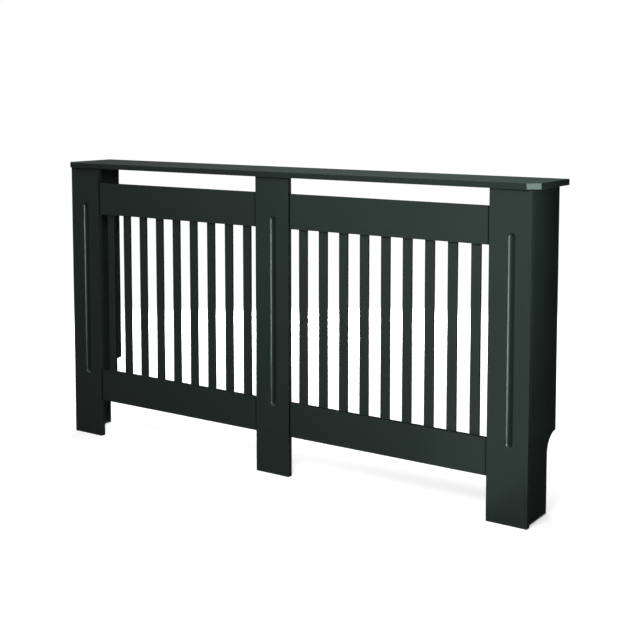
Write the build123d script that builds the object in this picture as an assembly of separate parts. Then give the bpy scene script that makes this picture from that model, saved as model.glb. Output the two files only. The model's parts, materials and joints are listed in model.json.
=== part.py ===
from build123d import *
import os

# Radiator cover: a slatted front, two end panels and a shelf, open at the back.
# X runs along the wall, Y runs from the room (-) to the wall (+), Z is up.
# The origin is on the floor, in the middle of the overall width and depth.
# All sizes are in millimetres.

# Overall size
overall_width = 1515
overall_height = 815
overall_depth = 190

# Shelf, with its two front corners cut off at 45 degrees
shelf_thickness = 15
shelf_front_overhang = 12
shelf_end_overhang = 17.5
shelf_corner_cut = 25
shelf_edge_round = 0.8

# Pilasters: the three upright boards of the front
pilaster_width = 107
pilaster_thickness = 15
pilaster_edge_round = 0.6

# Flute: the round-ended groove down each pilaster
flute_width = 20
flute_depth = 7.5
flute_off_centre = 4.5
flute_bottom = 184.5
flute_top_margin = 103

# End panels, set in from the pilaster edges and cut away for a skirting board
side_panel_thickness = 15
side_panel_reveal = 7
side_panel_edge_round = 0.6
skirting_cut_height = 197
skirting_cut_depth = 50

# Rails across the top and bottom of each grille bay
rail_height = 92
rail_thickness = 12
rail_edge_round = 0.5
bottom_rail_clearance = 109.5
top_rail_drop = 43

# Slats, lapped over the backs of the rails in shallow housings
slats_per_bay = 9
slat_width = 26
slat_thickness = 6
slat_edge_round = 0.6
slat_end_margin = 26
slat_lap = 40
slat_housing_depth = 3
housing_clearance = 0.2

# Pins through the slat ends
pin_diameter = 1.6
pin_length = 12
pin_head_diameter = 3.2
pin_head_height = 0.8

# Wooden dowels
board_dowel_diameter = 8
rail_dowel_diameter = 6
dowel_into_face = 10
dowel_into_edge = 20
rail_dowel_depth = 15
rail_dowel_edge_distance = 18
dowel_end_round = 0.8

# Clearances of fasteners in their holes
hole_clearance = 0.1
hole_end_clearance = 0.5

# Cam fittings: a bolt in the face of one board, held by a lock in the next one
cam_diameter = 15
cam_floor_gap = 1
cam_edge_distance = 24
cam_drive_length = 8
cam_drive_width = 1.4
cam_drive_depth = 2.5
cam_bolt_thread_diameter = 5
cam_bolt_thread_length = 11
cam_bolt_shank_diameter = 7
cam_bolt_neck_diameter = 4
cam_bolt_head_length = 3
cam_running_clearance = 0.5

# Flat-head screws for all the metalwork
screw_diameter = 3.5
screw_length = 10
screw_head_diameter = 7
screw_head_height = 1.8
screw_point_length = 2
screw_point_diameter = 0.8
screw_slot_width = 1
screw_slot_depth = 0.8

# Flat steel plates that join the rails to the pilasters
plate_height = 30
plate_thickness = 2
plate_corner_radius = 4
plate_slat_gap = 3
plate_hole_edge_distance = 8

# Angle brackets under the shelf and against the wall
bracket_leg = 30
bracket_width = 40
bracket_thickness = 2
bracket_bend_radius = 3
bracket_corner_radius = 4
bracket_hole_spacing = 24
bracket_hole_distance = 18
wall_hole_diameter = 5
wall_bracket_drop = 100

# Places of the fasteners along the joints
side_cam_end_distance = 160
side_dowel_end_distance = 60
shelf_dowel_end_distance = 25
shelf_cam_set_back = 70
pilaster_dowel_edge_distance = 18

# Places worked out from the sizes
half_width = overall_width / 2
front_y = -overall_depth / 2
wall_y = overall_depth / 2
shelf_underside = overall_height - shelf_thickness
pilaster_front_y = front_y + shelf_front_overhang
pilaster_back_y = pilaster_front_y + pilaster_thickness
pilaster_outer_x = half_width - shelf_end_overhang
pilaster_inner_x = pilaster_outer_x - pilaster_width
pilaster_centres = {
    "left": -(pilaster_outer_x + pilaster_inner_x) / 2,
    "centre": 0,
    "right": (pilaster_outer_x + pilaster_inner_x) / 2,
}
panel_outer_x = pilaster_outer_x - side_panel_reveal
panel_inner_x = panel_outer_x - side_panel_thickness
panel_middle_x = (panel_outer_x + panel_inner_x) / 2
rail_front_y = pilaster_back_y - rail_thickness
rail_middle_y = pilaster_back_y - rail_thickness / 2
rail_heights = {
    "top": (shelf_underside - top_rail_drop - rail_height, shelf_underside - top_rail_drop),
    "bottom": (bottom_rail_clearance, bottom_rail_clearance + rail_height),
}
bays = {
    "left": (-pilaster_inner_x, -pilaster_width / 2),
    "right": (pilaster_width / 2, pilaster_inner_x),
}
slat_front_y = pilaster_back_y - slat_housing_depth
slat_back_y = slat_front_y + slat_thickness
slat_bottom = rail_heights["bottom"][1] - slat_lap
slat_top = rail_heights["top"][0] + slat_lap
plate_length = 2 * (slat_end_margin - plate_slat_gap)


# A box between two opposite corners
def block(low, high):
    size = [end - start for start, end in zip(low, high)]
    middle = [(start + end) / 2 for start, end in zip(low, high)]
    return Pos(*middle) * Box(*size)


# A rod along Z between two heights, centred on X and Y
def rod(diameter, start, end):
    return Pos(0, 0, (start + end) / 2) * Cylinder(diameter / 2, end - start)


# The same shape at the right and, as its mirror image, at the left end
def at_both_ends(shape):
    return [shape, mirror(shape, about=Plane.YZ)]


# Takes the fastener holes that reach a piece out of it
def drill(piece, holes):
    box = piece.bounding_box()
    near = []
    for hole in holes:
        other = hole.bounding_box()
        apart = (
            other.min.X > box.max.X or other.max.X < box.min.X
            or other.min.Y > box.max.Y or other.max.Y < box.min.Y
            or other.min.Z > box.max.Z or other.max.Z < box.min.Z
        )
        if not apart:
            near.append(hole)
    return piece - near if near else piece


# The places of the fasteners. Each plane lies on the joint, at the fastener's axis.

# Its Z runs from the pilaster edge into the rail
def rail_dowel_places():
    places = []
    for bay_start, bay_end in bays.values():
        for low, high in rail_heights.values():
            for height in (low + rail_dowel_edge_distance, high - rail_dowel_edge_distance):
                places.append(Plane((bay_start, rail_middle_y, height), z_dir=(1, 0, 0)))
                places.append(Plane((bay_end, rail_middle_y, height), z_dir=(-1, 0, 0)))
    return places


# Its Z runs from the pilaster's back into the front edge of the right end panel
def side_place(height):
    return Plane((panel_middle_x, pilaster_back_y, height), x_dir=(-1, 0, 0), z_dir=(0, 1, 0))


# Its Z runs from the shelf's underside down into the board that carries it
def shelf_place(x, y):
    return Plane((x, y, shelf_underside), x_dir=(-1, 0, 0), z_dir=(0, 0, -1))


def side_dowel_places():
    middle = shelf_underside / 2
    top = shelf_underside - side_dowel_end_distance
    return [side_place(height) for height in (side_dowel_end_distance, middle, top)]


def side_cam_places():
    top = shelf_underside - side_cam_end_distance
    return [side_place(height) for height in (side_cam_end_distance, top)]


def panel_top_places():
    front = pilaster_back_y + shelf_dowel_end_distance
    back = wall_y - shelf_dowel_end_distance
    return [shelf_place(panel_middle_x, y) for y in (front, back)]


def pilaster_top_places():
    middle_y = (pilaster_front_y + pilaster_back_y) / 2
    reach = pilaster_width / 2 - pilaster_dowel_edge_distance
    places = []
    for centre in pilaster_centres.values():
        places.append(shelf_place(centre - reach, middle_y))
        places.append(shelf_place(centre + reach, middle_y))
    return places


def shelf_cam_place():
    return shelf_place(panel_middle_x, pilaster_back_y + shelf_cam_set_back)


# A dowel along Z across the joint at Z = 0, or its hole
def make_dowel(diameter, before, after, as_hole=False):
    if as_hole:
        return rod(diameter + hole_clearance, -before - hole_end_clearance, after + hole_end_clearance)
    dowel = rod(diameter, -before, after)
    ends = dowel.edges().filter_by(GeomType.CIRCLE)
    return chamfer(ends, dowel_end_round)


def rail_dowels(as_hole=False):
    dowel = make_dowel(rail_dowel_diameter, rail_dowel_depth, rail_dowel_depth, as_hole)
    return [place * dowel for place in rail_dowel_places()]


def side_dowels(as_hole=False):
    dowel = make_dowel(board_dowel_diameter, dowel_into_face, dowel_into_edge, as_hole)
    dowels = []
    for place in side_dowel_places():
        dowels += at_both_ends(place * dowel)
    return dowels


def shelf_dowels(as_hole=False):
    dowel = make_dowel(board_dowel_diameter, dowel_into_face, dowel_into_edge, as_hole)
    dowels = [place * dowel for place in pilaster_top_places()]
    for place in panel_top_places():
        dowels += at_both_ends(place * dowel)
    return dowels


# A cam bolt along Z: its thread is in the face board, its head in the lock
def make_cam_bolt(as_hole=False):
    if as_hole:
        thread = rod(cam_bolt_thread_diameter + hole_clearance, -cam_bolt_thread_length - hole_end_clearance, 0)
        shank = rod(cam_bolt_shank_diameter + cam_running_clearance, 0, cam_edge_distance)
        return thread + shank
    rim = cam_edge_distance - cam_diameter / 2 - cam_running_clearance
    head_start = cam_edge_distance - cam_bolt_head_length / 2
    head_end = cam_edge_distance + cam_bolt_head_length / 2
    thread = rod(cam_bolt_thread_diameter, -cam_bolt_thread_length, 0)
    shank = rod(cam_bolt_shank_diameter, 0, rim)
    neck = rod(cam_bolt_neck_diameter, rim, head_start)
    head = rod(cam_bolt_shank_diameter, head_start, head_end)
    return thread + shank + neck + head


# The round hole for a lock, open at the board's inner face and a little deeper than the bolt's head
def make_cam_pocket(board_thickness, clearance=0.0):
    floor = -cam_bolt_shank_diameter / 2 - cam_floor_gap
    pocket = rod(cam_diameter + clearance, floor, board_thickness / 2)
    return Pos(0, 0, cam_edge_distance) * Rot(0, 90, 0) * pocket


# A lock: a drum with a slot for the bolt's neck, a pocket for its head and a cross drive
def make_cam_lock(board_thickness):
    drum = make_cam_pocket(board_thickness)
    face = board_thickness / 2
    neck_room = cam_bolt_neck_diameter / 2 + cam_running_clearance
    head_room = cam_bolt_shank_diameter / 2 + cam_running_clearance
    head_reach = cam_bolt_head_length / 2 + cam_running_clearance
    neck_slot = block(
        (-neck_room, -neck_room, cam_edge_distance - cam_diameter),
        (neck_room, neck_room, cam_edge_distance),
    )
    head_slot = block(
        (-head_room, -head_room, cam_edge_distance - head_reach),
        (head_room, head_room, cam_edge_distance + head_reach),
    )
    drive = []
    for along_y, along_z in ((cam_drive_length, cam_drive_width), (cam_drive_width, cam_drive_length)):
        slot = Box(2 * cam_drive_depth, along_y, along_z)
        drive.append(Pos(face, 0, cam_edge_distance) * slot)
    return drum - neck_slot - head_slot - drive


def side_cam_bolts(as_hole=False):
    bolts = []
    for place in side_cam_places():
        bolts += at_both_ends(place * make_cam_bolt(as_hole))
    return bolts


def side_cam_locks():
    locks = []
    for place in side_cam_places():
        locks += at_both_ends(place * make_cam_lock(side_panel_thickness))
    return locks


def shelf_cam_bolts(as_hole=False):
    return at_both_ends(shelf_cam_place() * make_cam_bolt(as_hole))


def shelf_cam_locks():
    return at_both_ends(shelf_cam_place() * make_cam_lock(side_panel_thickness))


def cam_pockets():
    pocket = make_cam_pocket(side_panel_thickness, hole_clearance)
    pockets = []
    for place in side_cam_places() + [shelf_cam_place()]:
        pockets += at_both_ends(place * pocket)
    return pockets


# A flat-head screw along -Z, with the flat of its head at Z = 0, or its hole
def make_screw(as_hole=False):
    clearance = hole_clearance if as_hole else 0
    radius = (screw_diameter + clearance) / 2
    head_radius = (screw_head_diameter + clearance) / 2
    head = Pos(0, 0, -screw_head_height / 2) * Cone(radius, head_radius, screw_head_height)
    if as_hole:
        return head + rod(2 * radius, -screw_length - hole_end_clearance, -screw_head_height)
    point_start = -screw_length + screw_point_length
    point = Cone(screw_point_diameter / 2, radius, screw_point_length)
    point = Pos(0, 0, point_start - screw_point_length / 2) * point
    screw = head + rod(screw_diameter, point_start, -screw_head_height) + point
    slot = Box(screw_head_diameter, screw_slot_width, 2 * screw_slot_depth)
    return screw - slot


# The middle of each joining plate, on the backs of a rail and a pilaster
def plate_places():
    places = []
    for bay in bays.values():
        for joint in bay:
            for low, high in rail_heights.values():
                middle = (joint, pilaster_back_y, (low + high) / 2)
                places.append(Plane(middle, x_dir=(1, 0, 0), z_dir=(0, 1, 0)))
    return places


def joining_plate_screws(as_hole=False):
    screw = Pos(0, 0, plate_thickness) * make_screw(as_hole)
    along = plate_length - 2 * plate_hole_edge_distance
    across = plate_height - 2 * plate_hole_edge_distance
    return [
        place * corner * screw
        for place in plate_places()
        for corner in GridLocations(along, across, 2, 2)
    ]


def joining_plates():
    plate = extrude(RectangleRounded(plate_length, plate_height, plate_corner_radius), plate_thickness)
    return [drill(place * plate, plate_screw_holes) for place in plate_places()]


# An angle bracket: one leg lies on X = 0, the other on Z = 0, and its width is along Y
def make_bracket():
    half = bracket_width / 2
    upright = block((0, -half, 0), (bracket_thickness, half, bracket_leg))
    foot = block((0, -half, 0), (bracket_leg, half, bracket_thickness))
    bracket = upright + foot
    inner_bend = bracket.edges().filter_by(Axis.Y).sort_by_distance((bracket_thickness, 0, bracket_thickness))[0]
    bracket = fillet(inner_bend, bracket_bend_radius)
    tip_corners = bracket.edges().filter_by(Axis.X).group_by(Axis.Z)[-1]
    tip_corners += bracket.edges().filter_by(Axis.Z).group_by(Axis.X)[-1]
    return fillet(tip_corners, bracket_corner_radius)


# The two screws of the leg on X = 0, seen from the bracket
def upright_screws(as_hole=False):
    screw = Rot(0, 90, 0) * make_screw(as_hole)
    offsets = (-bracket_hole_spacing / 2, bracket_hole_spacing / 2)
    return [Pos(bracket_thickness, y, bracket_hole_distance) * screw for y in offsets]


# The two screws of the leg on Z = 0, seen from the bracket
def foot_screws(as_hole=False):
    screw = make_screw(as_hole)
    offsets = (-bracket_hole_spacing / 2, bracket_hole_spacing / 2)
    return [Pos(bracket_hole_distance, y, bracket_thickness) * screw for y in offsets]


# Behind each pilaster: X runs towards the wall and Z runs down from the shelf
def shelf_bracket_places():
    return [
        Plane((centre, pilaster_back_y, shelf_underside), x_dir=(0, 1, 0), z_dir=(0, 0, -1))
        for centre in pilaster_centres.values()
    ]


def shelf_bracket_screws(as_hole=False):
    screws = upright_screws(as_hole) + foot_screws(as_hole)
    return [place * screw for place in shelf_bracket_places() for screw in screws]


def shelf_brackets():
    holes = shelf_bracket_screws(as_hole=True)
    return [drill(place * make_bracket(), holes) for place in shelf_bracket_places()]


# In the corner of the right end panel and the wall: X runs inwards and Z towards the room
def wall_bracket_place():
    corner = (panel_inner_x, wall_y, shelf_underside - wall_bracket_drop)
    return Plane(corner, x_dir=(-1, 0, 0), z_dir=(0, -1, 0))


def wall_bracket_screws(as_hole=False):
    screws = []
    for screw in upright_screws(as_hole):
        screws += at_both_ends(wall_bracket_place() * screw)
    return screws


def make_wall_bracket():
    bracket = make_bracket()
    for y in (-bracket_hole_spacing / 2, bracket_hole_spacing / 2):
        bracket -= Pos(bracket_hole_distance, y, 0) * rod(wall_hole_diameter, -bracket_leg, bracket_leg)
    return drill(wall_bracket_place() * bracket, wall_bracket_screws(as_hole=True))


# The middle of each slat, along X
def slat_centres(bay):
    first = bay[0] + slat_end_margin + slat_width / 2
    last = bay[1] - slat_end_margin - slat_width / 2
    pitch = (last - first) / (slats_per_bay - 1)
    return [first + number * pitch for number in range(slats_per_bay)]


# A pin from the back of a slat into the rail
def make_pin(as_hole=False):
    clearance = hole_clearance if as_hole else 0
    end = -pin_length - (hole_end_clearance if as_hole else 0)
    shank = rod(pin_diameter + clearance, end, -pin_head_height)
    return shank + rod(pin_head_diameter + clearance, -pin_head_height, 0)


def slat_pins(as_hole=False):
    pin = make_pin(as_hole)
    pins = []
    for bay in bays.values():
        for x in slat_centres(bay):
            for height in (slat_bottom + slat_lap / 2, slat_top - slat_lap / 2):
                pins.append(Plane((x, slat_back_y, height), z_dir=(0, 1, 0)) * pin)
    return pins


def make_slat(x):
    slat = block(
        (x - slat_width / 2, slat_front_y, slat_bottom),
        (x + slat_width / 2, slat_back_y, slat_top),
    )
    slat = fillet(slat.edges().filter_by(Axis.Z), slat_edge_round)
    return drill(slat, pin_holes)


# A rail, with its front edges eased and a housing in its back for each slat
def make_rail(bay, heights):
    rail = block((bay[0], rail_front_y, heights[0]), (bay[1], pilaster_back_y, heights[1]))
    rail = fillet(rail.faces().sort_by(Axis.Y)[0].edges(), rail_edge_round)
    half = slat_width / 2 + housing_clearance
    housings = []
    for x in slat_centres(bay):
        low = (x - half, slat_front_y, slat_bottom - housing_clearance)
        high = (x + half, pilaster_back_y, slat_top + housing_clearance)
        housings.append(block(low, high))
    return drill(rail - housings, rail_dowel_holes + plate_screw_holes + pin_holes)


# The cutter of a flute: a rod with ball ends, which sinks into the face by the flute's depth
def make_flute(centre):
    radius = (flute_width ** 2 / 4 + flute_depth ** 2) / (2 * flute_depth)
    low = flute_bottom + flute_width / 2
    high = shelf_underside - flute_top_margin - flute_width / 2
    cutter = rod(2 * radius, low, high)
    cutter += Pos(0, 0, low) * Sphere(radius)
    cutter += Pos(0, 0, high) * Sphere(radius)
    return Pos(centre + flute_off_centre, pilaster_front_y + flute_depth - radius, 0) * cutter


def make_pilaster(centre):
    pilaster = block(
        (centre - pilaster_width / 2, pilaster_front_y, 0),
        (centre + pilaster_width / 2, pilaster_back_y, shelf_underside),
    )
    front_edges = pilaster.edges().filter_by(Axis.Z).group_by(Axis.Y)[0]
    pilaster = fillet(front_edges, pilaster_edge_round)
    holes = rail_dowel_holes + plate_screw_holes + shelf_dowel_holes
    holes += side_joint_holes + shelf_bracket_screws(as_hole=True)
    return drill(pilaster - make_flute(centre), holes)


# The right end panel. Its rear lower corner is cut away under a quarter-round arch.
def make_side_panel():
    cut_y = wall_y - skirting_cut_depth
    arch_z = skirting_cut_height - skirting_cut_depth
    outline = [
        Polyline((cut_y, arch_z), (cut_y, 0), (pilaster_back_y, 0), (pilaster_back_y, shelf_underside)),
        Polyline((pilaster_back_y, shelf_underside), (wall_y, shelf_underside), (wall_y, skirting_cut_height)),
        CenterArc((wall_y, arch_z), skirting_cut_depth, 90, 90),
    ]
    face = Plane.YZ.offset(panel_inner_x) * make_face(outline)
    panel = extrude(face, side_panel_thickness)
    rear_edges = [
        edge for edge in panel.faces().sort_by(Axis.X)[-1].edges()
        if edge.center().Y > cut_y - side_panel_edge_round and 0 < edge.center().Z < shelf_underside
    ]
    panel = fillet(rear_edges, side_panel_edge_round)
    holes = side_joint_holes + shelf_dowel_holes + shelf_cam_bolts(as_hole=True)
    return drill(panel, holes + cam_pockets() + wall_bracket_screws(as_hole=True))


def make_shelf():
    cut_y = front_y + shelf_corner_cut
    cut_x = half_width - shelf_corner_cut
    outline = Polyline(
        (-half_width, wall_y), (-half_width, cut_y), (-cut_x, front_y),
        (cut_x, front_y), (half_width, cut_y), (half_width, wall_y), close=True,
    )
    shelf = Pos(0, 0, shelf_underside) * extrude(make_face(outline), shelf_thickness)
    level_edges = shelf.edges().filter_by(Plane.XY)
    rounded = [edge for edge in level_edges if edge.center().Y < wall_y - shelf_edge_round]
    shelf = fillet(rounded, shelf_edge_round)
    holes = shelf_dowel_holes + shelf_cam_bolts(as_hole=True)
    return drill(shelf, holes + shelf_bracket_screws(as_hole=True))


# Holes that several pieces share
rail_dowel_holes = rail_dowels(as_hole=True)
shelf_dowel_holes = shelf_dowels(as_hole=True)
side_joint_holes = side_dowels(as_hole=True) + side_cam_bolts(as_hole=True)
plate_screw_holes = joining_plate_screws(as_hole=True)
pin_holes = slat_pins(as_hole=True)

nodes = {"top_shelf": make_shelf()}
for side, centre in pilaster_centres.items():
    nodes[f"{side}_pilaster"] = make_pilaster(centre)
nodes["right_side_panel"], nodes["left_side_panel"] = at_both_ends(make_side_panel())
for side, bay in bays.items():
    for level, heights in rail_heights.items():
        nodes[f"{side}_{level}_rail"] = make_rail(bay, heights)
    for number, x in enumerate(slat_centres(bay), start=1):
        nodes[f"{side}_slat_{number}"] = make_slat(x)
nodes["right_wall_bracket"], nodes["left_wall_bracket"] = at_both_ends(make_wall_bracket())

# Alike fasteners and brackets share a node, as a group of separate solids
groups = {
    "rail_dowels": rail_dowels(),
    "side_dowels": side_dowels(),
    "shelf_dowels": shelf_dowels(),
    "side_cam_bolts": side_cam_bolts(),
    "side_cam_locks": side_cam_locks(),
    "shelf_cam_bolts": shelf_cam_bolts(),
    "shelf_cam_locks": shelf_cam_locks(),
    "joining_plates": joining_plates(),
    "joining_plate_screws": joining_plate_screws(),
    "shelf_brackets": shelf_brackets(),
    "shelf_bracket_screws": shelf_bracket_screws(),
    "wall_bracket_screws": wall_bracket_screws(),
    "slat_pins": slat_pins(),
}
for name, pieces in groups.items():
    nodes[name] = Compound(children=pieces)

os.makedirs("parts", exist_ok=True)
for name, shape in nodes.items():
    export_step(shape, f"parts/{name}.step")
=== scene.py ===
import bpy
import json
from math import radians
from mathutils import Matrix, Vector

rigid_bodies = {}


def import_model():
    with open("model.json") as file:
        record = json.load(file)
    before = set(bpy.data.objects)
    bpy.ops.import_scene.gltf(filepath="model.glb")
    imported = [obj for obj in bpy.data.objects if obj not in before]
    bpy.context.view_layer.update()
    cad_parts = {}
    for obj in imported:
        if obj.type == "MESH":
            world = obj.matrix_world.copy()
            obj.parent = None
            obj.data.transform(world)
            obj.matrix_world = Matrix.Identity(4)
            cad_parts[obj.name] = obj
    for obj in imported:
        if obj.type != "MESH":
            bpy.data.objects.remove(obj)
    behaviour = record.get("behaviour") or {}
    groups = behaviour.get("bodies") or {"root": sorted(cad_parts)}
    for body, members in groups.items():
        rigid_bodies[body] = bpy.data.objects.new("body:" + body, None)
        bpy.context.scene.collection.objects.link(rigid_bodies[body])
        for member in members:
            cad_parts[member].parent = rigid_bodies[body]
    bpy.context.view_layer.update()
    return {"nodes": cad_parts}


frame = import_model()
print("frame loaded:", len(frame["nodes"]), "nodes")

scene = bpy.context.scene
scene.view_settings.view_transform = "Standard"
for piece in bpy.data.objects:
    piece.select_set(False)


# helpers for node trees: a socket is filled with a fixed value, or linked to another node's output
def fill(tree, socket, value):
    if isinstance(value, bpy.types.NodeSocket):
        tree.links.new(value, socket)
    else:
        socket.default_value = value


def addNode(tree, kind, place, inputs=None, **settings):
    node = tree.nodes.new(kind)
    node.location = place
    for name, value in settings.items():
        setattr(node, name, value)
    for label, value in (inputs or {}).items():
        fill(tree, node.inputs[label], value)
    return node


def calc(tree, place, kind, *values):
    node = addNode(tree, "ShaderNodeMath", place, dict(enumerate(values)), operation=kind)
    return node.outputs[0]


def calcVector(tree, place, kind, *values):
    node = addNode(tree, "ShaderNodeVectorMath", place, dict(enumerate(values)), operation=kind)
    return node.outputs["Value" if kind in ("DOT_PRODUCT", "LENGTH") else "Vector"]


# limits are given as from min, from max, to min, to max
def ramp(tree, place, value, limits, **settings):
    node = addNode(tree, "ShaderNodeMapRange", place, {"Value": value}, **settings)
    for label, limit in zip(("From Min", "From Max", "To Min", "To Max"), limits):
        fill(tree, node.inputs[label], limit)
    return node.outputs["Result"]


def mixColour(tree, place, share, first, second):
    node = addNode(tree, "ShaderNodeMix", place, {0: share, 6: first, 7: second}, data_type="RGBA")
    return node.outputs[2]


def mixShader(tree, place, share, first, second):
    return addNode(tree, "ShaderNodeMixShader", place, {0: share, 1: first, 2: second}).outputs[0]


def noise(tree, place, where, scale, detail, rough=0.5):
    values = {"Vector": where, "Scale": scale, "Detail": detail, "Roughness": rough}
    return addNode(tree, "ShaderNodeTexNoise", place, values).outputs["Fac"]


def objectCoords(tree, place):
    return addNode(tree, "ShaderNodeTexCoord", place).outputs["Object"]


def newMaterial(name):
    material = bpy.data.materials.new(name)
    material.use_nodes = True
    material.node_tree.nodes.clear()
    return material, material.node_tree


def newGroup(name, inputs, outputs):
    tree = bpy.data.node_groups.new(name, "ShaderNodeTree")
    for label, kind in inputs.items():
        tree.interface.new_socket(label, in_out="INPUT", socket_type="NodeSocket" + kind)
    for label, kind in outputs.items():
        tree.interface.new_socket(label, in_out="OUTPUT", socket_type="NodeSocket" + kind)
    start = addNode(tree, "NodeGroupInput", (-1500, 700))
    end = addNode(tree, "NodeGroupOutput", (700, 0))
    return tree, start.outputs, end.inputs


# the shader of a solid finish; fixed holds the values that are the same all over
def addShader(tree, colour, rough, height, relief, fixed=None):
    bumpValues = {"Strength": relief["strength"], "Distance": relief["height"], "Height": height}
    bump = addNode(tree, "ShaderNodeBump", (50, -250), bumpValues)
    values = {"Base Color": colour, "Roughness": rough, "Normal": bump.outputs["Normal"]}
    shader = addNode(tree, "ShaderNodeBsdfPrincipled", (300, 0), {**values, **(fixed or {})})
    addNode(tree, "ShaderNodeOutputMaterial", (600, 0), {"Surface": shader.outputs["BSDF"]})


# sprayed paint: fine orange peel, slow drift of tone and sheen, matter cut edges and rounds, a matter
# floor in the machined grooves,
# and painted shade: a darker groove floor, and far darker cut faces on the rails and slats
paint = {
    "colour": (0.0235, 0.034, 0.0302, 1),
    "edgeColour": (0.0176, 0.0255, 0.0227, 1),
    # painted shade: the cut faces of the rails and slats are coloured far darker than their faces, for
    # the shade that falls on them
    "thinEdgeShadeColour": (0.005, 0.0072, 0.0064, 1),
    # painted shade: the floor of the flutes is coloured darker, for the shade that falls in them
    "grooveShadeColour": (0.0105, 0.0153, 0.0136, 1),
    # joint line and painted shade: the rails are coloured darker beside the uprights, for the joint and
    # the shade of the uprights' step
    "jointShadeColour": (0.0015, 0.002, 0.002, 1),
    "sheen": (0.268, 0.312),
    "fixed": {"Specular IOR Level": 0.5, "Specular Tint": (0.72, 1, 0.88, 1)},
    "relief": {"strength": 0.4, "height": 0.00002},
    "peel": {"scale": 900.0, "detail": 2.0},
    "drift": {"scale": 4.0, "detail": 3.0, "rough": 0.55},
    "fibre": {"scale": 2200.0, "detail": 1.0},
    "toneDrift": (0.25, 0.75, 0.95, 1.05),
    "cutEdge": (0.5, 0.1, 0.0, 1.0),  # these four by how nearly a surface faces as its board does
    "roundStart": (0.98, 0.86, 0.0, 1.0),
    "roundEnd": (0.05, 0.2, 0.0, 1.0),
    "grooveFloor": (0.6, 0.85, 0.0, 1.0),
    "grooveTop": (0.001, 0.0035, 0.0, 1.0),  # these two by the depth below the board's face
    "grooveBottom": (0.0085, 0.008, 0.0, 1.0),
    "cutMatt": 0.08,
    "roundMatt": 0.7,
    "grooveMatt": 0.25,
    "jointPlaces": (0.0535, 0.633),  # the rails' two ends, from the middle of the cover
    "jointShadeLine": (0.0036, 0.0052, 1.0, 0.0),  # by the distance from a joint
    "pilasterFace": -0.083,  # level of the grooved face
    "pilasterRound": 0.0007,  # how deep the rounds of the pilasters reach
    "noGroove": -5.0,  # a face level so far away leaves the groove shading out
    "everyRound": 10.0,  # a reach that takes in every round
}


def makeSprayGroup():
    tree, given, result = newGroup("sprayedPaint", {
        "Face Colour": "Color",
        "Edge Colour And Shade": "Color",
        "Groove Shade Colour": "Color",
        "Board Normal": "Vector",
        "Face Level": "Float",
        "Round Reach": "Float",
        "Sheen Low": "Float",
        "Sheen High": "Float",
    }, {"Colour": "Color", "Roughness": "Float", "Height": "Float"})
    here = objectCoords(tree, (-1500, -300))
    peel = noise(tree, (-1200, -200), here, **paint["peel"])
    drift = noise(tree, (-1200, -450), here, **paint["drift"])
    fibre = noise(tree, (-1200, -700), here, **paint["fibre"])

    # how far the surface turns from the board's face, and how deep it lies below it
    normal = addNode(tree, "ShaderNodeNewGeometry", (-1500, 200)).outputs["Normal"]
    facing = calcVector(tree, (-1200, 200), "DOT_PRODUCT", normal, given["Board Normal"])
    flat = calc(tree, (-1000, 200), "ABSOLUTE", facing)
    level = calcVector(tree, (-1200, 450), "DOT_PRODUCT", here, given["Board Normal"])
    offset = calc(tree, (-1000, 450), "SUBTRACT", level, given["Face Level"])
    depth = calc(tree, (-800, 450), "ABSOLUTE", offset)

    cut = ramp(tree, (-600, 200), flat, paint["cutEdge"])
    turned = ramp(tree, (-600, 0), flat, paint["roundStart"])
    notCut = ramp(tree, (-600, -200), flat, paint["roundEnd"])
    nearFace = calc(tree, (-600, 650), "LESS_THAN", depth, given["Round Reach"])
    rounded = calc(tree, (-400, -100), "MULTIPLY", turned, notCut)
    dull = calc(tree, (-400, 0), "MULTIPLY", rounded, nearFace)
    below = ramp(tree, (-600, 450), depth, paint["grooveTop"])
    above = ramp(tree, (-600, 850), depth, paint["grooveBottom"])
    sunk = calc(tree, (-400, 650), "MULTIPLY", below, above)
    floor = ramp(tree, (-400, 850), flat, paint["grooveFloor"])
    groove = calc(tree, (-200, 650), "MULTIPLY", sunk, floor)

    # painted shade: cut faces take the edge colour, which on the rails and slats is a dark shade, and
    # the groove floor takes a darker shade colour
    sided = mixColour(tree, (-200, 300), cut, given["Face Colour"], given["Edge Colour And Shade"])
    shaded = mixColour(tree, (0, 300), groove, sided, given["Groove Shade Colour"])
    tone = ramp(tree, (0, 50), drift, paint["toneDrift"], clamp=False)
    toneValues = {0: shaded, "Scale": tone}
    toned = addNode(tree, "ShaderNodeVectorMath", (250, 200), toneValues, operation="SCALE")
    tree.links.new(toned.outputs["Vector"], result["Colour"])

    sheenLimits = (0.0, 1.0, given["Sheen Low"], given["Sheen High"])
    sheen = ramp(tree, (0, -150), drift, sheenLimits, clamp=False)
    cutMatt = calc(tree, (-200, -50), "MULTIPLY", cut, paint["cutMatt"])
    roundMatt = calc(tree, (-200, -200), "MULTIPLY", dull, paint["roundMatt"])
    grooveMatt = calc(tree, (-200, -350), "MULTIPLY", groove, paint["grooveMatt"])
    matt = calc(tree, (0, -350), "MAXIMUM", cutMatt, roundMatt)
    matt = calc(tree, (150, -350), "MAXIMUM", matt, grooveMatt)
    tree.links.new(calc(tree, (350, -150), "ADD", sheen, matt), result["Roughness"])
    fuzz = calc(tree, (0, -600), "MULTIPLY", fibre, cut)
    tree.links.new(calc(tree, (250, -500), "ADD", peel, fuzz), result["Height"])
    return tree


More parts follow.
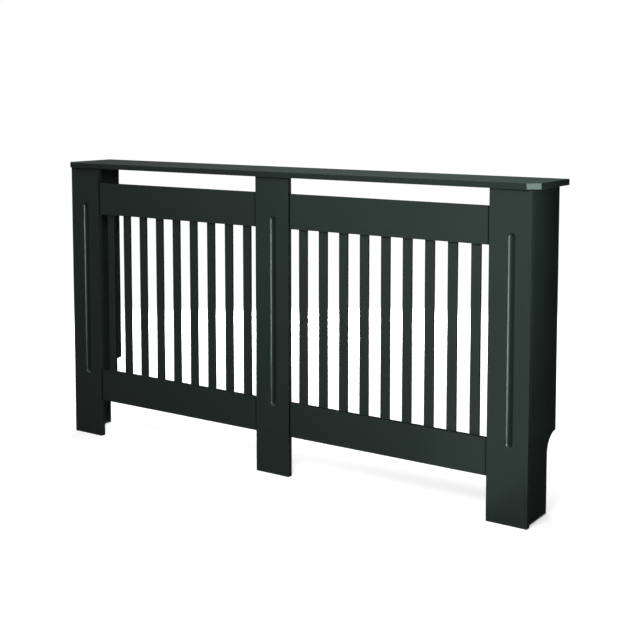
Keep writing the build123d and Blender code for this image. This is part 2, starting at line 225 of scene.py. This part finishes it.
# the thin dark line where the rails meet the uprights, at set distances either side of the middle: a
# joint line and painted shade from the uprights' step
def makeJointGroup():
    tree, given, result = newGroup("jointShadeLine", {
        "Colour": "Color",
        "Joint Shade Colour": "Color",
        "Near Joint": "Float",
        "Far Joint": "Float",
    }, {"Colour": "Color"})
    here = objectCoords(tree, (-1200, 0))
    parts = addNode(tree, "ShaderNodeSeparateXYZ", (-1000, 0), {0: here})
    side = calc(tree, (-800, 0), "ABSOLUTE", parts.outputs["X"])
    gaps = []
    for label, height in (("Near Joint", 100), ("Far Joint", -150)):
        gap = calc(tree, (-600, height), "SUBTRACT", side, given[label])
        gaps.append(calc(tree, (-400, height), "ABSOLUTE", gap))
    nearest = calc(tree, (-200, 0), "MINIMUM", *gaps)
    line = ramp(tree, (0, 0), nearest, paint["jointShadeLine"])
    lined = mixColour(tree, (300, 0), line, given["Colour"], given["Joint Shade Colour"])
    tree.links.new(lined, result["Colour"])
    return tree


sprayedPaint = makeSprayGroup()
jointShadeLine = makeJointGroup()


# board is the way that the board faces, and groove the level and the rounds of a grooved one
def paintMaterial(name, board, edge="edgeColour", groove=None, joints=False):
    material, tree = newMaterial(name)
    faceLevel, roundReach = groove or (paint["noGroove"], paint["everyRound"])
    spray = addNode(tree, "ShaderNodeGroup", (-200, 0), {
        "Face Colour": paint["colour"],
        "Edge Colour And Shade": paint[edge],
        "Groove Shade Colour": paint["grooveShadeColour"],
        "Board Normal": board,
        "Face Level": faceLevel,
        "Round Reach": roundReach,
        "Sheen Low": paint["sheen"][0],
        "Sheen High": paint["sheen"][1],
    }, node_tree=sprayedPaint).outputs
    colour = spray["Colour"]
    # the rails darken beside the uprights: a joint line and painted shade
    if joints:
        colour = addNode(tree, "ShaderNodeGroup", (50, 150), {
            "Colour": colour,
            "Joint Shade Colour": paint["jointShadeColour"],
            "Near Joint": paint["jointPlaces"][0],
            "Far Joint": paint["jointPlaces"][1],
        }, node_tree=jointShadeLine).outputs["Colour"]
    addShader(tree, colour, spray["Roughness"], spray["Height"], paint["relief"], paint["fixed"])
    return material


flute = (paint["pilasterFace"], paint["pilasterRound"])
pilasterPaint = paintMaterial("paintedPilaster", (0, 1, 0), groove=flute)
# the rails and slats take the dark edge colour of painted shade on their cut faces
railPaint = paintMaterial("paintedRail", (0, 1, 0), edge="thinEdgeShadeColour", joints=True)
slatPaint = paintMaterial("paintedSlat", (0, 1, 0), edge="thinEdgeShadeColour")
endPaint = paintMaterial("paintedEndPanel", (1, 0, 0))
shelfPaint = paintMaterial("paintedShelf", (0, 0, 1))
print("paint ready")

# what all the metals share
metalSkin = {
    "cloud": {"detail": 4.0, "rough": 0.6},
    "scratch": {"scale": 1.0, "detail": 2.0},
    "crystalShare": 0.35,
    "spread": (0.3, 0.65, 0.0, 1.0),  # from bright to dull
    "scratchWear": 0.12,
    "bumpStrength": 0.3,
    "drawnScratches": (40, 1500, 1500),  # long along x
    "castSkin": (900, 900, 900),
}


# plated and cast metal: cloudy tone, fine crystals and a little handling wear in the gloss
def makeMetalGroup():
    tree, given, result = newGroup("platedMetal", {
        "Bright Colour": "Color",
        "Dull Colour": "Color",
        "Rough Low": "Float",
        "Rough High": "Float",
        "Crystal Size": "Float",
        "Cloud Size": "Float",
        "Scratch Stretch": "Vector",
    }, {"Colour": "Color", "Roughness": "Float", "Height": "Float"})
    here = objectCoords(tree, (-1200, 0))
    cloud = noise(tree, (-800, 200), here, given["Cloud Size"], **metalSkin["cloud"])
    crystalValues = {"Vector": here, "Scale": given["Crystal Size"]}
    crystal = addNode(tree, "ShaderNodeTexVoronoi", (-800, -100), crystalValues).outputs["Distance"]
    stretch = calcVector(tree, (-1000, -400), "MULTIPLY", here, given["Scratch Stretch"])
    scratch = noise(tree, (-800, -400), stretch, **metalSkin["scratch"])

    bothValues = {0: metalSkin["crystalShare"], 2: cloud, 3: crystal}
    both = addNode(tree, "ShaderNodeMix", (-500, 100), bothValues, data_type="FLOAT")
    spread = ramp(tree, (-300, 100), both.outputs[0], metalSkin["spread"])
    colour = mixColour(tree, (0, 200), spread, given["Bright Colour"], given["Dull Colour"])
    rough = ramp(tree, (0, -50), spread, (0.0, 1.0, given["Rough Low"], given["Rough High"]))
    worn = calc(tree, (300, -100), "MULTIPLY_ADD", scratch, metalSkin["scratchWear"], rough)
    height = calc(tree, (0, -350), "ADD", crystal, scratch)
    for label, value in (("Colour", colour), ("Roughness", worn), ("Height", height)):
        tree.links.new(value, result[label])
    return tree


platedMetal = makeMetalGroup()


def metalMaterial(name, look):
    material, tree = newMaterial(name)
    metal = addNode(tree, "ShaderNodeGroup", (-200, 0), look["values"], node_tree=platedMetal).outputs
    relief = {"strength": metalSkin["bumpStrength"], "height": look["relief"]}
    fixed = {"Metallic": look["metallic"]}
    addShader(tree, metal["Colour"], metal["Roughness"], metal["Height"], relief, fixed)
    return material


# bright zinc on pressed plates and brackets
plateLook = {
    "values": {
        "Bright Colour": (0.68, 0.68, 0.67, 1), "Dull Colour": (0.47, 0.48, 0.48, 1),
        "Rough Low": 0.22, "Rough High": 0.36, "Crystal Size": 420.0, "Cloud Size": 55.0,
        "Scratch Stretch": metalSkin["drawnScratches"],
    },
    "relief": 0.00002,
    "metallic": 0.55,
}

# yellow-passivated screws
screwLook = {
    "values": {
        "Bright Colour": (0.72, 0.66, 0.5, 1), "Dull Colour": (0.52, 0.46, 0.33, 1),
        "Rough Low": 0.2, "Rough High": 0.34, "Crystal Size": 1500.0, "Cloud Size": 260.0,
        "Scratch Stretch": metalSkin["drawnScratches"],
    },
    "relief": 0.00001,
    "metallic": 0.8,
}

# cast zinc cam housings: greyer, with a sandy skin
castLook = {
    "values": {
        "Bright Colour": (0.5, 0.5, 0.49, 1), "Dull Colour": (0.34, 0.34, 0.34, 1),
        "Rough Low": 0.38, "Rough High": 0.55, "Crystal Size": 2600.0, "Cloud Size": 180.0,
        "Scratch Stretch": metalSkin["castSkin"],
    },
    "relief": 0.00005,
    "metallic": 0.6,
}

# bright drawn pins
pinLook = {
    "values": {
        "Bright Colour": (0.74, 0.73, 0.7, 1), "Dull Colour": (0.58, 0.57, 0.55, 1),
        "Rough Low": 0.16, "Rough High": 0.26, "Crystal Size": 3000.0, "Cloud Size": 600.0,
        "Scratch Stretch": metalSkin["drawnScratches"],
    },
    "relief": 0.000006,
    "metallic": 0.9,
}

zincPlate = metalMaterial("zincPlate", plateLook)
screwSteel = metalMaterial("passivatedScrew", screwLook)
castZinc = metalMaterial("castZinc", castLook)
pinSteel = metalMaterial("brightPin", pinLook)
print("metals ready")

# beech dowels: straight grain along the peg, short flecks across it
beech = {
    "early": (0.5, 0.3, 0.16, 1),
    "late": (0.36, 0.2, 0.1, 1),
    "fleck": (0.24, 0.13, 0.07, 1),
    "grain": {"scale": 1.0, "detail": 4.0, "rough": 0.6},
    "fleckScale": 2.2,
    "fleckSpots": (0.12, 0.04, 0.0, 1.0),
    "sheen": (0.0, 1.0, 0.55, 0.75),
    "relief": {"strength": 0.4, "height": 0.00005},
    "grainAlongX": (60, 900, 900),
    "grainAlongZ": (900, 900, 60),
}


def dowelMaterial(name, stretch):
    material, tree = newMaterial(name)
    along = calcVector(tree, (-800, 0), "MULTIPLY", objectCoords(tree, (-1000, 0)), stretch)
    grain = noise(tree, (-600, 100), along, **beech["grain"])
    fleckValues = {"Vector": along, "Scale": beech["fleckScale"]}
    fleck = addNode(tree, "ShaderNodeTexVoronoi", (-600, -200), fleckValues).outputs["Distance"]
    wood = mixColour(tree, (-200, 100), grain, beech["early"], beech["late"])
    spots = ramp(tree, (-400, -200), fleck, beech["fleckSpots"])
    flecked = mixColour(tree, (100, 100), spots, wood, beech["fleck"])
    rough = ramp(tree, (100, -150), grain, beech["sheen"])
    addShader(tree, flecked, rough, grain, beech["relief"])
    return material


levelDowels = dowelMaterial("beechAlongX", beech["grainAlongX"])
uprightDowels = dowelMaterial("beechAlongZ", beech["grainAlongZ"])

hardwareFinish = {
    "rail_dowels": levelDowels,
    "side_dowels": levelDowels,
    "shelf_dowels": uprightDowels,
    "side_cam_bolts": screwSteel,
    "shelf_cam_bolts": screwSteel,
    "side_cam_locks": castZinc,
    "shelf_cam_locks": castZinc,
    "joining_plates": zincPlate,
    "joining_plate_screws": screwSteel,
    "shelf_brackets": zincPlate,
    "shelf_bracket_screws": screwSteel,
    "left_wall_bracket": zincPlate,
    "right_wall_bracket": zincPlate,
    "wall_bracket_screws": screwSteel,
    "slat_pins": pinSteel,
}

for name, node in frame["nodes"].items():
    if name in hardwareFinish:
        finish = hardwareFinish[name]
    elif name == "top_shelf":
        finish = shelfPaint
    elif name.endswith("side_panel"):
        finish = endPaint
    elif name.endswith("pilaster"):
        finish = pilasterPaint
    elif name.endswith("rail"):
        finish = railPaint
    else:
        finish = slatPaint
    for slot in node.material_slots:
        slot.material = finish
print("finishes assigned")


# camera at the photograph's angle
photoCamera = {
    "place": (1.8655, -2.6031, 1.01935),
    "turn": 34.17,
    "tilt": -4.98,
    "lens": 67.12,
    "sensor": 36,
    "shiftY": -0.1918,
}
cameraData = bpy.data.cameras.new("photoCamera")
cameraData.lens = photoCamera["lens"]
cameraData.sensor_width = photoCamera["sensor"]
cameraData.shift_y = photoCamera["shiftY"]
camera = bpy.data.objects.new("photoCamera", cameraData)
camera.location = photoCamera["place"]
camera.rotation_euler = (radians(90 + photoCamera["tilt"]), 0, radians(photoCamera["turn"]))
scene.collection.objects.link(camera)
scene.camera = camera


# white floor and background, which keep the object's shadow
def whiteForLooking(tree):
    path = addNode(tree, "ShaderNodeLightPath", (-500, 200)).outputs
    cameraOrGloss = calc(tree, (-300, 200), "MAXIMUM", path["Is Camera Ray"], path["Is Glossy Ray"])
    return calc(tree, (-100, 200), "MAXIMUM", cameraOrGloss, path["Is Transmission Ray"])


studio = {
    "ambient": 0.06,
    "floorGlow": (0.9, 1.8, 0.5, 0.965),  # by the distance from the middle of the cover
    "floorColour": (0.8, 0.8, 0.8, 1),  # as it is looked at
    "bounceColour": (0.25, 0.25, 0.25, 1),  # for the light that it sends back up
    "floorSize": 40,
}

world = bpy.data.worlds.new("studio")
scene.world = world
world.use_nodes = True
tree = world.node_tree
tree.nodes.clear()
white = (1, 1, 1, 1)
seen = addNode(tree, "ShaderNodeBackground", (200, 100), {"Color": white, "Strength": 1.0})
dim = addNode(tree, "ShaderNodeBackground", (200, -100), {"Color": white, "Strength": studio["ambient"]})
mixed = mixShader(tree, (400, 0), whiteForLooking(tree), dim.outputs[0], seen.outputs[0])
addNode(tree, "ShaderNodeOutputWorld", (600, 0), {"Surface": mixed})

bpy.ops.mesh.primitive_plane_add(size=studio["floorSize"], location=(0, 0, 0))
floor = bpy.context.object
floor.name = "studioFloor"
material, tree = newMaterial("paleFloor")
away = calcVector(tree, (-400, -200), "LENGTH", objectCoords(tree, (-600, -200)))
fade = ramp(tree, (-200, -200), away, studio["floorGlow"], interpolation_type="SMOOTHSTEP")
diffuse = addNode(tree, "ShaderNodeBsdfDiffuse", (200, 0), {"Color": studio["floorColour"]})
glow = addNode(tree, "ShaderNodeEmission", (200, -200), {"Strength": fade})
addUp = addNode(tree, "ShaderNodeAddShader", (400, -100), {0: diffuse.outputs[0], 1: glow.outputs[0]})
bounce = addNode(tree, "ShaderNodeBsdfDiffuse", (400, 100), {"Color": studio["bounceColour"]})
mixed = mixShader(tree, (600, 0), whiteForLooking(tree), bounce.outputs[0], addUp.outputs[0])
addNode(tree, "ShaderNodeOutputMaterial", (800, 0), {"Surface": mixed})
floor.data.materials.append(material)
print("camera and floor ready")


# cards that only gloss sees: black ones keep the white studio out of the dark paint
def glossCard(name, corners, opacity=1.0, glow=None, colour=white):
    mesh = bpy.data.meshes.new(name)
    mesh.from_pydata(corners, [], [tuple(range(len(corners)))])
    card = bpy.data.objects.new(name, mesh)
    scene.collection.objects.link(card)
    material, tree = newMaterial(name)
    strength = 0.0
    if glow:
        here = objectCoords(tree, (-800, -100))
        parts = addNode(tree, "ShaderNodeSeparateXYZ", (-600, -100), {0: here}).outputs
        where = parts[glow["axis"]]
        strength = ramp(tree, (-400, 0), where, glow["across"], interpolation_type="SMOOTHSTEP")
        if "up" in glow:
            up = ramp(tree, (-400, -300), parts["Z"], glow["up"])
            strength = calc(tree, (-100, -100), "MULTIPLY", strength, up)
    clear = addNode(tree, "ShaderNodeBsdfTransparent", (200, 100))
    face = addNode(tree, "ShaderNodeEmission", (200, -100), {"Color": colour, "Strength": strength})
    mixed = mixShader(tree, (400, 0), opacity, clear.outputs[0], face.outputs[0])
    addNode(tree, "ShaderNodeOutputMaterial", (600, 0), {"Surface": mixed})
    mesh.materials.append(material)
    card.visible_camera = False
    card.visible_diffuse = False
    card.visible_shadow = False


# the corners of a card that lies flat, and of one that stands on a line
def lying(height, *points):
    return [(x, y, height) for x, y in points]


def standing(start, end, low, high):
    return [(*start, low), (*end, low), (*end, high), (*start, high)]


glossCards = {
    # the dark studio that the front boards and the shelf's edge reflect
    "floorCard": {"corners": lying(0.002, (-8, -6), (-2.5, -6), (0.5, 0), (-8, 0))},
    "rightFrontCard": {
        "corners": lying(0.001, (-2.5, -6), (6, -6), (6, 0), (0.5, 0)),
        "opacity": 0.78,
    },
    "frontCard": {"corners": standing((-8, -6), (6, -6), 0, 5), "opacity": 0.93},
    "leftCard": {"corners": standing((-8, -6), (-8, 1), 0, 5)},
    # a faint glow above and behind, for the top of the shelf
    "backCard": {
        "corners": standing((-8, 0.6), (3, 0.6), 0.75, 2.6),
        "opacity": 0.93,
        "glow": {"axis": "X", "across": (-1.3, 0.3, 0.01, 0.065)},
        "colour": (0.55, 1, 0.85, 1),
    },
    "shelfEndCard": {"corners": standing((0.6, 0.59), (3, 0.59), 0, 1.2)},
    # the end panel fades from front to rear and towards the floor
    "sideCard": {
        "corners": standing((0.6, 0.12), (3, 0.12), 0, 0.79),
        "glow": {"axis": "X", "across": (0.75, 0.9, 0.0, 0.42), "up": (0.1, 0.75, 0.05, 1.0)},
        "colour": (0.75, 1, 0.9, 1),
    },
    # dark behind the grille, for the edges of the slats and posts
    "behindCard": {"corners": standing((-8, 0.12), (0.6, 0.12), 0, 0.812)},
    # the bright strip that lights up the flutes and the cut corners, and its foot on the floor
    "stripCard": {
        "corners": standing((2, -1.1), (2.2, -0.25), 0, 0.79),
        "glow": {"axis": "Y", "across": (-1.1, -0.5, 6.0, 19.5), "up": (0.55, 0.7, 1.0, 0.55)},
    },
    "stripFloorCard": {
        "corners": lying(0.004, (1.25, -0.7), (2, -1.1), (2.2, -0.25), (1.3, -0.2)),
        "glow": {"axis": "Y", "across": (-1.1, -0.5, 3.0, 12.0)},
    },
    # dark floor behind the front boards and beside the end panel
    "insideFloorCard": {
        "corners": lying(0.005, (-8, -0.001), (0.6, -0.001), (0.6, 0.13), (-8, 0.13)),
    },
    "rightFloorCard": {"corners": lying(0.003, (0.6, -0.6), (3, -0.6), (3, 3), (0.6, 3))},
}
for name, card in glossCards.items():
    glossCard(name, **card)


# soft boxes; those without gloss would burn out in the shelf or the plates from some sides
def softBox(name, place, target, size, watts, gloss=True):
    data = bpy.data.lights.new(name, "AREA")
    data.shape = "RECTANGLE"
    data.size, data.size_y = size
    data.energy = watts
    lamp = bpy.data.objects.new(name, data)
    lamp.location = place
    lamp.rotation_euler = (Vector(target) - Vector(place)).to_track_quat("-Z", "Y").to_euler()
    lamp.visible_camera = False
    lamp.visible_glossy = gloss
    scene.collection.objects.link(lamp)


softBoxes = {
    "keyBox": {
        "place": (0.7, -1.3, 1.2),
        "target": (0.6, 0, 0.45),
        "size": (0.5, 0.5),
        "watts": 23,
        "gloss": False,
    },
    "rightStrip": {
        "place": (2.1, -0.69, 0.75),
        "target": (0.7, -0.08, 0.6),
        "size": (0.2, 1.3),
        "watts": 3,
        "gloss": False,
    },
    "leftFill": {
        "place": (-1.86, -1.07, 2.15),
        "target": (0, 0, 0.4),
        "size": (1.2, 1.2),
        "watts": 18,
    },
    "topBox": {
        "place": (0, 0.1, 2.6),
        "target": (0, 0, 0.4),
        "size": (1.5, 0.6),
        "watts": 27,
    },
    "backBox": {
        "place": (-1.3, 2.0, 0.6),
        "target": (0.1, 0, 0.4),
        "size": (1.2, 0.6),
        "watts": 70,
        "gloss": False,
    },
}
for name, lamp in softBoxes.items():
    softBox(name, **lamp)
print("studio ready")
